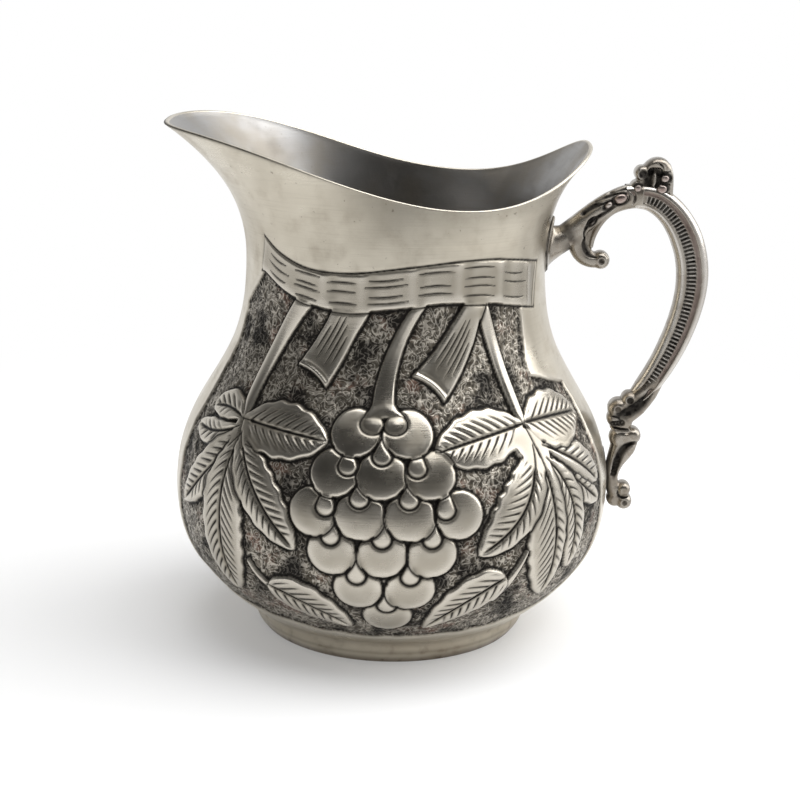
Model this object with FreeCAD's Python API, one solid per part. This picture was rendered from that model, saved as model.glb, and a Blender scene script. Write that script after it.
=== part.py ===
import FreeCAD
import Part
import math
import os

# A chased jug with a broad spout and a cast scroll handle. Millimetres, +Z up.
# The origin is the centre of the foot's underside; the spout points to -X and the handle to +X.
Vector = FreeCAD.Vector

# Body: one raised sheet, round up to the neck, then drawn out into the spout and the back peak.
wall = 0.9
seat_radius = 41.6          # where the body stands on the foot
belly_radius = 64.5
belly_height = 43.0
neck_radius = 43.6
neck_height = 110.0
bowl_outward = 17.0         # the sheet leaves its seat outwards by this much ...
bowl_upward = 11.0          # ... for this much rise
bowl_fullness = 16.0        # how far below the belly the side already runs upright
belly_fullness = 30.0       # how far above the belly the side stays upright
shoulder_fullness = 34.0    # how far below the neck the side is upright again
flare_power = 2.4           # above 1 the mouth turns outwards late, near its rim

# Rim: a long oval in plan, a saddle from the side.
spout_reach = 67.3
spout_height = 150.0
back_reach = 55.8
back_height = 145.4
mouth_half_depth = 42.5
mouth_squareness = 2.5      # 2 is an ellipse
rim_low_height = 131.5
rim_low_x = 20.0            # the saddle's lowest point lies towards the handle
back_rise_power = 2.3

# Relief: on each side a tied ribbon, two vine leaves and a bunch of grapes, on a sunk ground.
# A place is (degrees from the side's middle towards the handle, height).
ground_sink = 0.6           # of the ground between the forms, below the plain sheet
relief_rise = 0.45          # of the forms' tops above the plain sheet
ribbon_rise = 0.3
grape_radius = 7.3
grape_rows = [
    (21.2, [-0.2]), (31.0, [-7.7, 5.5]), (42.0, [-14.2, -1.6, 10.5]), (52.7, [-19.4, -7.4, 4.9, 17.3]),
    (63.5, [-14.6, -2.2, 10.4]), (73.5, [-10.3, 4.8]),
]
leaf_lobes = [              # hub, bend, tip and half the width
    ((-36.7, 32.5), (-24.5, 24.5), (-10.5, 16.9), 5.2), ((34.8, 35.5), (24.5, 28.0), (10.0, 16.7), 5.3),
    ((-47.0, 71.0), (-56.8, 70.0), (-67.0, 68.8), 6.6), ((-46.0, 68.5), (-55.0, 56.6), (-67.0, 43.6), 5.6),
    ((-46.2, 68.0), (-47.8, 44.0), (-45.3, 22.6), 8.3), ((-46.0, 68.6), (-35.2, 53.6), (-23.6, 41.2), 6.0),
    ((-47.6, 72.0), (-31.8, 71.6), (-17.8, 70.6), 7.5), ((45.5, 67.0), (58.0, 59.0), (68.0, 49.0), 5.2),
    ((45.5, 63.5), (53.6, 47.0), (52.8, 29.6), 4.8), ((42.8, 66.5), (46.0, 45.0), (45.4, 22.9), 7.0),
    ((41.6, 67.5), (36.8, 53.6), (22.2, 40.7), 6.6), ((40.6, 73.2), (25.5, 71.4), (11.8, 68.6), 7.4),
    ((41.6, 73.5), (54.0, 73.2), (68.5, 71.6), 8.1),
]
vine_stems = [              # the same; these and the ribbon's loose ends keep their width
    ((-34.5, 105.0), (-46.0, 88.0), (-47.4, 71.9), 2.1), ((33.0, 105.5), (38.6, 89.0), (40.8, 73.6), 1.9),
    ((9.4, 106.0), (-1.9, 90.0), (-2.7, 77.5), 2.5), ((-15.5, 105.0), (-21.5, 95.0), (-27.4, 86.6), 5.0),
    ((29.3, 105.0), (22.0, 94.0), (12.2, 84.8), 4.6),
]
ribbon_edges = [            # at some degrees, the heights of its lower and upper edge
    (-58.0, 111.3, 123.0), (-40.0, 105.5, 114.8), (-22.0, 103.2, 113.4), (0.0, 104.7, 115.4),
    (24.0, 106.1, 117.3), (45.0, 104.2, 116.6), (65.0, 101.2, 113.9),
]
ground_edges = (12.0, 106.0, -74.0, 72.0)   # its lowest and highest height, its first and last degrees
ground_fade = 5.0

# Foot: a bowed band with a flange turned in at its top, which carries the body and the base.
foot_radius = 39.3
foot_height = 6.6
foot_bow = 0.5
foot_wall = 1.2
flange_width = 5.0
base_thickness = 1.2
base_clearance = 0.2
foot_solder_leg = 1.1

# Collar: a flared socket soldered to the neck.
collar_below_rim = 29.9     # from the back peak down to the collar's middle
collar_tilt = 22.0          # degrees above level
collar_flange_radius = 7.2
collar_flange_edge = 0.9
collar_waist_radius = 4.3
collar_length = 5.6
collar_hollow = 0.65        # how far the flare curves in
solder_gap = 0.25

# Arm: a leaf casting that rises from the collar to the crest, with a hook below its root.
arm_span = 20.0
arm_rise = 12.7
arm_lead = 4.0              # straight lead out of the collar
arm_level = 9.0             # level run into the grip
arm_root_width = 8.4
arm_waist_width = 5.0
arm_end_width = 7.6
arm_depth = 7.4
hook_line = [(3.4, 1.2), (2.5, -4.0), (6.0, -7.6), (10.3, -6.6)]    # from the collar's end
hook_width = 5.4
hook_tip_width = 4.3
hook_depth = 6.0
hook_curl_radius = 2.7
hook_curl_depth = 6.6

# Thumb crest: a bud of rolled leaves on the arm's end.
# Each curl here and below is (x, z) from its piece's end, a radius and a depth across the handle.
crest_curls = [(0.4, 2.8, 2.8, 7.8), (5.7, 4.1, 3.1, 8.4), (7.0, 0.4, 2.7, 7.4), (3.6, 0.8, 3.7, 6.6)]

# Grip: a C strap with a sunk channel on each side and a volute at its lower end.
grip_reach = 87.0           # from the jug's axis to the middle of the strap, at its furthest
grip_below_collar = 9.5     # the strap is furthest out this far below the collar's middle
grip_shoulder = 9.0         # level run from the arm
grip_drop = 12.0            # upright run above the furthest point ...
grip_hang = 14.0            # ... and below it
grip_return = (10.5, 7.0)   # the lower end comes in from this far right and above
grip_width = 9.2
grip_end_width = 6.2
grip_depth = 7.0
grip_bevel = 0.6
grip_inner_rim = 1.9
grip_outer_rim = 2.6
channel_depth = 0.9
channel_slope = 0.4
volute_radius = 4.3
volute_depth = 6.6
volute_curls = [(1.3, 3.6, 2.2, 7.4), (-2.4, 1.5, 2.2, 7.8)]

# Bracket: an S scroll between the grip's end and the belly.
bracket_top_height = 59.4
bracket_foot_height = 37.6
bracket_stand_off = 5.6     # of both ends from the belly
bracket_swell = (4.3, -7.3)     # pull of the S away from the belly, from its top
bracket_tuck = (-14.3, 4.4)     # pull of the S into the belly, from its lower end
bracket_top_width = 6.4
bracket_bulge_width = 8.4
bracket_waist_width = 4.4
bracket_depth = 7.0
bracket_curls = [(0.0, 0.0, 2.3, 7.4), (-0.8, 3.6, 2.1, 6.6)]

# Fineness of the curved skins and lofts.
curl_rounding = 0.45        # share of a curl's radius that rounds its two edges
scroll_squareness = 2.4
skin_columns = 192
skin_rows = 76
skin_degree = 3
fitting_reach = 26.0        # of the body's side that the handle's ends are fitted to, up and down ...
fitting_columns = 16        # ... and to each side
scroll_steps = 9
section_points = 16
round_back_steps = 3


def mix(low, high, share):
    return low + (high - low) * share


def ease(share):
    return share * share * (3 - 2 * share)


def bezier(points, share):
    """A point on the cubic curve of four (x, z) control points."""
    rest = 1.0 - share
    weights = (rest ** 3, 3 * rest * rest * share, 3 * rest * share * share, share ** 3)
    return tuple(sum(w * p[axis] for w, p in zip(weights, points)) for axis in (0, 1))


def bezier_at_height(points, height):
    """The x of a cubic curve that rises steadily, at one height."""
    low, high = 0.0, 1.0
    for _ in range(40):
        middle = (low + high) / 2
        if bezier(points, middle)[1] < height:
            low = middle
        else:
            high = middle
    return bezier(points, low)[0]


bowl_curve = [
    (seat_radius, foot_height),
    (seat_radius + bowl_outward, foot_height + bowl_upward),
    (belly_radius, belly_height - bowl_fullness),
    (belly_radius, belly_height),
]
shoulder_curve = [
    (belly_radius, belly_height),
    (belly_radius, belly_height + belly_fullness),
    (neck_radius, neck_height - shoulder_fullness),
    (neck_radius, neck_height),
]


def rim_radius(azimuth):
    """Distance of the rim from the axis: half a superellipse for the spout, half for the back."""
    reach = back_reach if math.cos(azimuth) > 0 else spout_reach
    along = abs(math.cos(azimuth)) / reach
    across = abs(math.sin(azimuth)) / mouth_half_depth
    return (along ** mouth_squareness + across ** mouth_squareness) ** (-1 / mouth_squareness)


def rim_height(azimuth):
    """Height of the rim: an even ease up to the spout, a steeper rise to the back peak."""
    x = rim_radius(azimuth) * math.cos(azimuth)
    if x > rim_low_x:
        share = (x - rim_low_x) / (back_reach - rim_low_x)
        return mix(rim_low_height, back_height, share ** back_rise_power)
    return mix(rim_low_height, spout_height, ease((rim_low_x - x) / (rim_low_x + spout_reach)))


def skin_radius(azimuth, height):
    """Distance of the body's outer face from the axis."""
    if height <= belly_height:
        return bezier_at_height(bowl_curve, height)
    if height <= neck_height:
        return bezier_at_height(shoulder_curve, height)
    share = (height - neck_height) / (rim_height(azimuth) - neck_height)
    return mix(neck_radius, rim_radius(azimuth), share ** flare_power)


def level_wall(azimuth, height):
    """The wall measured level, where it is the sheet's thickness square to the sloping side."""
    step = wall / 20
    low = max(height - step, foot_height)
    lean = (skin_radius(azimuth, low + step) - skin_radius(azimuth, low)) / step
    return wall * math.hypot(1.0, lean)


def side_point(place):
    """The point of the plain sheet at a place on the side towards -Y."""
    azimuth = math.radians(place[0] - 90)
    radius = skin_radius(azimuth, place[1])
    return Vector(radius * math.cos(azimuth), radius * math.sin(azimuth), place[1])


def along_form(point, line):
    """The share of the way along a bent line at which a point lies, and its distance from the line."""
    nearest = None
    for index in range(len(line) - 1):
        run = line[index + 1] - line[index]
        share = min(max((point - line[index]).dot(run) / run.dot(run), 0.0), 1.0)
        far = (point - line[index] - run * share).Length
        if nearest is None or far < nearest[1]:
            nearest = ((index + share) / (len(line) - 1), far)
    return nearest


def dome(far, radius):
    return math.sqrt(max(1 - (far / radius) ** 2, 0.0)) if radius > 0 else 0.0


grapes = [side_point((place, height)) for height, row in grape_rows for place in row]
lobes = [([side_point(place) for place in form[:3]], form[3]) for form in leaf_lobes]
stems = [([side_point(place) for place in form[:3]], form[3]) for form in vine_stems]


def fade(value, edge):
    """0 at an edge and 1 from ground_fade inside it."""
    return ease(min(max((value - edge) / ground_fade, 0.0), 1.0))


def ground_share(degrees, height):
    low, high, first, last = ground_edges
    return (fade(height, low) * fade(-height, -high)
            * fade(degrees, first) * fade(-degrees, -last))


def in_ribbon(degrees, height):
    for (first, *start), (last, *end) in zip(ribbon_edges, ribbon_edges[1:]):
        if first <= degrees <= last:
            share = (degrees - first) / (last - first)
            return mix(start[0], end[0], share) <= height <= mix(start[1], end[1], share)
    return False


def relief(azimuth, height):
    """How far the outer face stands out from the plain sheet; both sides are alike."""
    degrees = 90 - abs(math.degrees(math.atan2(math.sin(azimuth), math.cos(azimuth))))
    if in_ribbon(degrees, height):
        return ribbon_rise
    ground = ground_share(degrees, height)
    if ground == 0.0:
        return 0.0
    point = side_point((degrees, height))
    form = max(dome((point - grape).Length, grape_radius) for grape in grapes)
    for line, half in lobes:
        share, far = along_form(point, line)
        form = max(form, dome(far, half * math.sin(math.pi * share) ** 0.7))
    for line, half in stems:
        form = max(form, dome(along_form(point, line)[1], half))
    return mix(-ground_sink, relief_rise, form) * ground


def skin_surface(inset):
    """Smooth closed skin from the seat to the rim; inset(azimuth, height) moves it inwards."""
    spans = skin_rows - skin_degree
    rises = [0.0, 1 / 3] + list(range(1, spans)) + [spans - 1 / 3, spans]
    poles = []
    for column in range(skin_columns):
        azimuth = math.pi + 2 * math.pi * column / skin_columns     # the seam runs up the spout
        top = rim_height(azimuth)
        line = []
        for rise in rises:
            height = mix(foot_height, top, rise / spans)
            radius = skin_radius(azimuth, height) - inset(azimuth, height)
            line.append(Vector(radius * math.cos(azimuth), radius * math.sin(azimuth), height))
        poles.append(line)
    surface = Part.BSplineSurface()
    round_knots = list(range(skin_columns + 1))
    rise_knots = list(range(spans + 1))
    rise_mults = [skin_degree + 1] + [1] * (spans - 1) + [skin_degree + 1]
    surface.buildFromPolesMultsKnots(
        poles, [1] * (skin_columns + 1), rise_mults, round_knots, rise_knots,
        True, False, skin_degree, skin_degree)
    return surface


def bottom_and_top(surface):
    first, last = surface.bounds()[2:]
    return surface.vIso(first).toShape(), surface.vIso(last).toShape()


def solid_of(faces):
    shell = Part.Shell(faces)
    shell.sewShape()
    solid = Part.Solid(shell)
    if solid.Volume < 0:
        solid.reverse()
    return solid


def inner_inset(azimuth, height):
    """The inside is plain; it lies behind the ground by the sheet's thickness."""
    degrees = 90 - abs(math.degrees(math.atan2(math.sin(azimuth), math.cos(azimuth))))
    return level_wall(azimuth, height) + ground_sink * ground_share(degrees, height)


def body_shell():
    outer = skin_surface(lambda azimuth, height: -relief(azimuth, height))
    inner = skin_surface(inner_inset)
    outer_bottom, outer_top = bottom_and_top(outer)
    inner_bottom, inner_top = bottom_and_top(inner)
    rim = Part.makeRuledSurface(outer_top, inner_top)
    seat = Part.makeRuledSurface(outer_bottom, inner_bottom)
    return solid_of([outer.toShape(), inner.toShape(), rim, seat])


def fitting_block(growth, height):
    """The body's side near the handle's plane, grown by the solder's thickness, to fit a piece to it."""
    surface = skin_surface(lambda azimuth, height: -growth)
    middle = skin_columns / 2
    span_height = (back_height - foot_height) / (skin_rows - skin_degree)
    low = max(height - fitting_reach - foot_height, 0.0) / span_height
    high = min(height + fitting_reach - foot_height, back_height - foot_height) / span_height
    surface.segment(middle - fitting_columns, middle + fitting_columns, low, high)
    return surface.toShape().extrude(Vector(-neck_radius / 2, 0, 0))


def turned(edges):
    """A ring about the jug's axis from a closed outline in the plane y = 0."""
    return Part.Face(Part.Wire(edges)).revolve(Vector(0, 0, 0), Vector(0, 0, 1), 360)


def outline_edges(points):
    return Part.makePolygon([Vector(radius, 0, height) for radius, height in points]).Edges


def foot_ring():
    under = foot_height - foot_wall
    bore = seat_radius - flange_width
    middle = mix(foot_radius, seat_radius, 0.5) + foot_bow
    band = Part.Arc(Vector(foot_radius, 0, 0), Vector(middle, 0, foot_height / 2),
                    Vector(seat_radius, 0, foot_height)).toShape()
    return turned([band] + outline_edges([
        (seat_radius, foot_height), (bore, foot_height), (bore, under),
        (seat_radius - foot_wall, under), (foot_radius - foot_wall, 0), (foot_radius, 0)]))


def base_disc():
    radius = seat_radius - level_wall(0.0, foot_height) - base_clearance
    return Part.makeCylinder(radius, base_thickness, Vector(0, 0, foot_height))


def foot_solder():
    """A fillet in the corner between the flange's edge and the base's underside."""
    bore = seat_radius - flange_width
    leg = min(foot_solder_leg, foot_wall)
    corner = (bore, foot_height)
    return turned(outline_edges([corner, (bore - leg, foot_height), (bore, foot_height - leg), corner]))


def offset(point, right, up):
    return point[0] + right, point[1] + up


# Anchor points of the handle, as (x, z) in its plane y = 0.
collar_axis = (math.cos(math.radians(collar_tilt)), math.sin(math.radians(collar_tilt)))
collar_height = back_height - collar_below_rim
collar_root = (skin_radius(0.0, collar_height), collar_height)
collar_end = offset(collar_root, collar_axis[0] * collar_length, collar_axis[1] * collar_length)
arm_end = offset(collar_end, arm_span, arm_rise)
crest_seat = offset(arm_end, 0, arm_end_width / 2)
bracket_top = (skin_radius(0.0, bracket_top_height) + bracket_stand_off, bracket_top_height)
bracket_end = (skin_radius(0.0, bracket_foot_height) + bracket_stand_off, bracket_foot_height)
grip_end = offset(bracket_top, 0, volute_radius)


def collar_blank(growth):
    """The flared socket before it is fitted to the neck, its flange grown by the solder's bead."""
    axis = Vector(collar_axis[0], 0, collar_axis[1])
    side = Vector(-collar_axis[1], 0, collar_axis[0])
    root = Vector(collar_root[0], 0, collar_root[1])
    sunk = root - axis * collar_flange_radius
    top = root + axis * collar_length
    bulge_of_neck = collar_flange_radius ** 2 / (2 * neck_radius)
    flange = side * (collar_flange_radius + growth)
    edge = root + flange + axis * (collar_flange_edge + bulge_of_neck)
    waist = top + side * collar_waist_radius
    hollow = mix(edge, waist, 0.5) - side * collar_hollow
    lines = [
        Part.makeLine(sunk, sunk + flange),
        Part.makeLine(sunk + flange, edge),
        Part.Arc(edge, hollow, waist).toShape(),
        Part.makeLine(waist, top),
        Part.makeLine(top, sunk),
    ]
    return Part.Face(Part.Wire(lines)).revolve(sunk, axis, 360)


def seam(piece, height):
    """The film of solder between a piece and the body."""
    return piece.common(fitting_block(solder_gap, height)).cut(fitting_block(0.0, height))


def section(centre, across, width, depth):
    """A closed rounded outline square to a scroll's line, its width in the handle's plane."""
    points = []
    for step in range(section_points):
        turn = 2 * math.pi * step / section_points
        shares = [math.copysign(abs(part) ** (2 / scroll_squareness), part)
                  for part in (math.cos(turn), math.sin(turn))]
        points.append(centre + across * (width / 2 * shares[0]) + Vector(0, depth / 2 * shares[1], 0))
    line = Part.BSplineCurve()
    line.interpolate(points, PeriodicFlag=True)
    return Part.Wire(line.toShape())


def line_frames(curves, count):
    """Centre, in-plane normal and share of the way at even steps along a chain of cubic curves."""
    nudge = 1e-4
    frames = []
    for step in range(count + 1):
        place = step / count * len(curves)
        index = min(int(place), len(curves) - 1)
        share = place - index
        here = bezier(curves[index], share)
        ahead = bezier(curves[index], min(share + nudge, 1.0))
        behind = bezier(curves[index], max(share - nudge, 0.0))
        along = Vector(ahead[0] - behind[0], 0, ahead[1] - behind[1]).normalize()
        frames.append((Vector(here[0], 0, here[1]), Vector(-along.z, 0, along.x), step / count))
    return frames


def stops(values, share):
    """A value eased between evenly spaced stops."""
    place = share * (len(values) - 1)
    index = min(int(place), len(values) - 2)
    return mix(values[index], values[index + 1], ease(place - index))


def scroll(curve, widths, depths):
    return Part.makeLoft([section(centre, across, stops(widths, share), stops(depths, share))
                          for centre, across, share in line_frames([curve], scroll_steps)], True, False)


def curls(point, places):
    """The rolled ends of scrolls: short rounded rollers across the handle's plane."""
    rollers = []
    for right, up, radius, depth in places:
        x, z = offset(point, right, up)
        roller = Part.makeCylinder(radius, depth, Vector(x, -depth / 2, z), Vector(0, 1, 0))
        rollers.append(roller.makeFillet(radius * curl_rounding, roller.Edges))
    return rollers


def fused(pieces):
    return pieces[0].multiFuse(pieces[1:]).removeSplitter()


def half_space(x, height, above):
    """A large block in the handle's plane, above or below a level cut."""
    size = grip_reach
    low = height if above else height - size
    return Part.makeBox(size, size, size, Vector(x - size / 2, -size / 2, low))


def handle_arm(collar):
    arm = scroll(
        [collar_end, offset(collar_end, collar_axis[0] * arm_lead, collar_axis[1] * arm_lead),
         offset(arm_end, -arm_level, 0), arm_end],
        [arm_root_width, arm_waist_width, arm_waist_width, arm_end_width],
        [arm_root_width, arm_depth, arm_depth, grip_depth])
    line = [offset(collar_end, right, up) for right, up in hook_line]
    hook = scroll(line, [hook_width, hook_width, hook_tip_width], [hook_depth] * 2)
    return fused([arm, hook] + curls(line[-1], [(0, 0, hook_curl_radius, hook_curl_depth)])).cut(collar)


def thumb_crest(arm, grip):
    return fused(curls(crest_seat, crest_curls)).cut(arm).cut(grip)


def strap_section(centre, outward, width):
    """Outline of the strap: a flat inner rim, a sunk channel on each side, a round outer back."""
    half = grip_depth / 2
    sunk = half - channel_depth
    inner = -width / 2
    back = width / 2 - grip_outer_rim
    places = [
        (inner, half - grip_bevel), (inner + grip_bevel, half), (inner + grip_inner_rim, half),
        (inner + grip_inner_rim + channel_slope, sunk), (back - channel_slope, sunk),
    ]
    for step in range(round_back_steps):
        turn = math.pi / 2 * step / round_back_steps
        places.append((back + grip_outer_rim * math.sin(turn), half * math.cos(turn)))
    outline = places + [(width / 2, 0.0)] + [(place, -side) for place, side in reversed(places)]
    corners = [centre + outward * place + Vector(0, side, 0) for place, side in outline]
    return Part.makePolygon(corners + corners[:1])


def handle_grip():
    reach = (grip_reach, collar_height - grip_below_collar)
    lines = [
        [arm_end, offset(arm_end, grip_shoulder, 0), offset(reach, 0, grip_drop), reach],
        [reach, offset(reach, 0, -grip_hang), offset(grip_end, *grip_return), grip_end],
    ]
    widths = [arm_end_width, grip_width, grip_width, grip_end_width]
    strap = Part.makeLoft([strap_section(centre, outward, stops(widths, share))
                           for centre, outward, share in line_frames(lines, scroll_steps * 2)], True, False)
    volute = curls(grip_end, [(0, 0, volute_radius, volute_depth)] + volute_curls)
    return fused([strap] + volute).cut(half_space(grip_end[0], bracket_top_height, False))


def bracket_blank():
    """The S scroll before it is fitted to the belly."""
    body = scroll(
        [bracket_top, offset(bracket_top, *bracket_swell), offset(bracket_end, *bracket_tuck), bracket_end],
        [bracket_top_width, bracket_bulge_width, bracket_waist_width, bracket_waist_width],
        [bracket_depth] * 2)
    whole = fused([body] + curls(bracket_end, bracket_curls))
    return whole.cut(half_space(bracket_top[0], bracket_top_height, True))


def build():
    bracket_middle = mix(bracket_foot_height, bracket_top_height, 0.5)
    collar = collar_blank(0.0).cut(fitting_block(solder_gap, collar_height))
    arm = handle_arm(collar)
    grip = handle_grip()
    bracket = bracket_blank()
    return {
        "body_shell": body_shell(),
        "base_disc": base_disc(),
        "foot_ring": foot_ring(),
        "foot_solder": foot_solder(),
        "handle_collar": collar,
        "collar_solder": seam(collar_blank(solder_gap), collar_height),
        "handle_arm": arm,
        "thumb_crest": thumb_crest(arm, grip),
        "handle_grip": grip,
        "lower_bracket": bracket.cut(fitting_block(solder_gap, bracket_middle)),
        "bracket_solder": seam(bracket, bracket_middle),
    }


os.makedirs("parts", exist_ok=True)
for name, shape in build().items():
    print(name, "solids", len(shape.Solids), "valid", shape.isValid(), "volume", round(shape.Volume, 2))
    shape.exportStep(os.path.join("parts", name + ".step"))
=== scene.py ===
import math

import bpy
import numpy as np
from mathutils import Matrix, Vector


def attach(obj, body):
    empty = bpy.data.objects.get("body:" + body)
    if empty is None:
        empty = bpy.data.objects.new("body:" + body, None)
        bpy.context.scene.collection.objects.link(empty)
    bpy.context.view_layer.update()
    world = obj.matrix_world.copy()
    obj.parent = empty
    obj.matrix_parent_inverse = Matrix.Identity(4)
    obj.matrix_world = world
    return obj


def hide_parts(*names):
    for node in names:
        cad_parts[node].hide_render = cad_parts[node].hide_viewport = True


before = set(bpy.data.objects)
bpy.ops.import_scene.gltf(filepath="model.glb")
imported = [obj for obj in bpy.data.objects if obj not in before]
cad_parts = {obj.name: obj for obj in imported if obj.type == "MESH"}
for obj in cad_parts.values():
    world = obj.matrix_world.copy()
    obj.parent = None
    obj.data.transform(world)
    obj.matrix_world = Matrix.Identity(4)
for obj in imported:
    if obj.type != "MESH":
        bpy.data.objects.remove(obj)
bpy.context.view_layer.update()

# Body: one sheet of silver-plated copper, raised with hammers into a round belly, a neck and a
# drawn-out mouth. Each side is chased from the front with a tied ribbon, two vine leaves and a
# bunch of grapes; the ground between them is matted with a punch and keeps a dark patina.
mm = 0.001
wall = 0.9
seat_radius, seat_height = 41.6, 6.6
belly_radius, belly_height = 65.0, 43.0
neck_radius, neck_height = 43.6, 110.0
chased_top = 122.0
spout_reach, back_reach, mouth_half_width = 67.3, 55.8, 42.5
rim_low_x, rim_low_height, rim_power = 20.0, 131.5, 2.5
spout_rise, back_rise = 18.5, 13.9
ribbon_radius = 43.9


def curve(points, count=240):
    """Points along the cubic curve of four control points."""
    share = np.linspace(0.0, 1.0, count)[:, None]
    rest = 1 - share
    a, b, c, d = np.array(points, float)
    return rest ** 3 * a + 3 * rest ** 2 * share * b + 3 * rest * share ** 2 * c + share ** 3 * d


def ease(share):
    """Goes from 0 to 1 with the share, without a corner at either end."""
    share = np.clip(share, 0.0, 1.0)
    return share * share * (3 - 2 * share)


def ridge(off, width):
    """1 along a line and less to both sides of it."""
    return np.exp(-(off / width) ** 2)


# The side's line from the foot to the neck as (radius, height), and its length up to each point.
side_line = np.vstack([
    curve([(seat_radius, seat_height), (58.6, 17.6), (belly_radius, 27.0), (belly_radius, belly_height)]),
    curve([(belly_radius, belly_height), (belly_radius, 73.0),
           (neck_radius, 76.0), (neck_radius, neck_height)])[1:],
    [(neck_radius, rim_low_height + spout_rise)],
])
side_length = np.append(0.0, np.hypot(*np.diff(side_line, axis=0).T).cumsum())


def way_up(height):
    """The length of the side's line up to a height."""
    return np.interp(height, side_line[:, 1], side_length)


def plain_radius(height):
    """The side's distance from the axis, without the mouth's flare."""
    return np.interp(height, side_line[:, 1], side_line[:, 0])


def rim(azimuth):
    """The rim's distance from the axis and its height, round the mouth from the handle's side."""
    reach = np.where(np.cos(azimuth) > 0, back_reach, spout_reach)
    forward, sideways = abs(np.cos(azimuth)) / reach, abs(np.sin(azimuth)) / mouth_half_width
    far = (forward ** rim_power + sideways ** rim_power) ** (-1 / rim_power)
    x = far * np.cos(azimuth)
    back = rim_low_height + back_rise * np.clip((x - rim_low_x) / (back_reach - rim_low_x), 0, 1) ** 2.3
    spout = rim_low_height + spout_rise * ease((rim_low_x - x) / (rim_low_x + spout_reach))
    return far, np.where(x > rim_low_x, back, spout)


def skin(azimuth, height):
    """The outer face's distance from the axis."""
    far, top = rim(azimuth)
    flare = np.clip((height - neck_height) / (top - neck_height), 0, 1) ** 2.4
    return plain_radius(height) + (far - neck_radius) * flare


def hammering(azimuth, height):
    """The faint unevenness that planishing leaves, in mm."""
    return 0.028 * (np.sin(9 * azimuth + 0.11 * height) * np.sin(0.23 * height + 1)
                    + np.sin(14 * azimuth - 0.17 * height + 2) * np.cos(0.31 * height)
                    + np.sin(5 * azimuth + 0.07 * height + 4))


def plain_level(height):
    """The plain sheet lies this far inside the belly's fullest line, which the relief's tops reach."""
    return -0.5 * ease((height - 7) / 14) * (1 - ease((height - 84) / 22))


class ChasedSheet:
    """One side of the body rolled out flat: columns in degrees from its middle, rows in mm up it."""

    def __init__(self, columns, rows):
        self.columns, self.rows = columns, rows
        self.height = np.zeros((len(rows), len(columns)))
        self.dark = np.zeros_like(self.height)
        self.matted = np.zeros_like(self.height)
        self.panel = np.zeros_like(self.height)

    def near(self, places, reach):
        """The patch within reach of some (degrees, height) places, flat in mm about their middle."""
        places = np.array(places, float)
        middle = places.mean(0)
        scale = math.radians(plain_radius(middle[1]))
        across = (self.columns - middle[0]) * scale
        up = self.rows - way_up(middle[1])
        flat = np.column_stack([(places[:, 0] - middle[0]) * scale,
                                way_up(places[:, 1]) - way_up(middle[1])])
        low, high = flat.min(0) - reach, flat.max(0) + reach
        patch = tuple(slice(*np.searchsorted(line, ends))
                      for line, ends in ((up, (low[1], high[1])), (across, (low[0], high[0]))))
        return patch, across[None, patch[1]], up[patch[0], None], flat

    def beat(self, patch, inside, level, groove=0.3, edge=0.5, line_width=0.3, traced=1.0):
        """Beats what lies inside an outline up to a level, and runs a dark traced line round it."""
        step = ease((inside + 0.12) / edge)
        line = traced * ridge(inside + 0.3, line_width)
        self.height[patch] += (level - self.height[patch]) * step - groove * line
        self.matted[patch] *= (1 - step) * (1 - line)
        self.dark[patch] = np.maximum(self.dark[patch] * (1 - step), line)

    def score(self, patch, line, depth=0.2):
        """Cuts chased strokes; line is 1 along their middles."""
        self.height[patch] -= depth * line
        self.dark[patch] = np.maximum(self.dark[patch], line)


def along(line, across, up):
    """For flat points: the way along a line of points, and the distance to its left."""
    steps = np.diff(line, axis=0)
    lengths = np.append(0.0, np.hypot(*steps.T).cumsum())
    nearest = np.full(np.broadcast(across, up).shape, np.inf)
    way, left = np.zeros_like(nearest), np.zeros_like(nearest)
    tangents = np.gradient(line, axis=0)
    tangents /= np.hypot(*tangents.T)[:, None]
    for (x, y), (tx, ty), length in zip(line, tangents, lengths):
        right, above = across - x, up - y
        far = right ** 2 + above ** 2
        closer = far < nearest
        nearest = np.where(closer, far, nearest)
        way = np.where(closer, length + right * tx + above * ty, way)
        left = np.where(closer, above * tx - right * ty, left)
    return way, left, lengths[-1]


def past_ends(way, length):
    """How far beyond either end of a line."""
    return np.maximum(np.maximum(-way, way - length), 0)


def through(points, count=61):
    """A smooth line through two to four flat points."""
    points = np.array(points, float)
    stations = np.append(0.0, np.hypot(*np.diff(points, axis=0).T).cumsum())
    even = np.linspace(0.0, stations[-1], count)
    return np.column_stack([np.polyval(np.polyfit(stations, axis, len(points) - 1), even)
                            for axis in points.T])


def grain(across, up, size, seed):
    """Smooth random values from 0 to 1 over flat points, about one bump to each size in mm."""
    lattice = np.random.RandomState(seed).rand(400, 400)
    x, y = np.broadcast_arrays(across / size + 200, up / size + 20)
    left, low = np.floor(x).astype(int), np.floor(y).astype(int)
    right, above = ease(x - left), ease(y - low)
    bottom = lattice[low, left] * (1 - right) + lattice[low, left + 1] * right
    top = lattice[low + 1, left] * (1 - right) + lattice[low + 1, left + 1] * right
    return bottom * (1 - above) + top * above


def blurred(values, cells):
    """Mean over a square of cells to each side, twice."""
    for axis in (0, 1, 0, 1):
        count = values.shape[axis]
        sums = np.insert(values.cumsum(axis), 0, 0.0, axis)
        first = np.clip(np.arange(count) - cells, 0, count)
        last = np.clip(np.arange(count) + cells + 1, 0, count)
        width = (last - first).reshape((-1, 1) if axis == 0 else (1, -1))
        values = (sums.take(last, axis) - sums.take(first, axis)) / width
    return values


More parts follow.
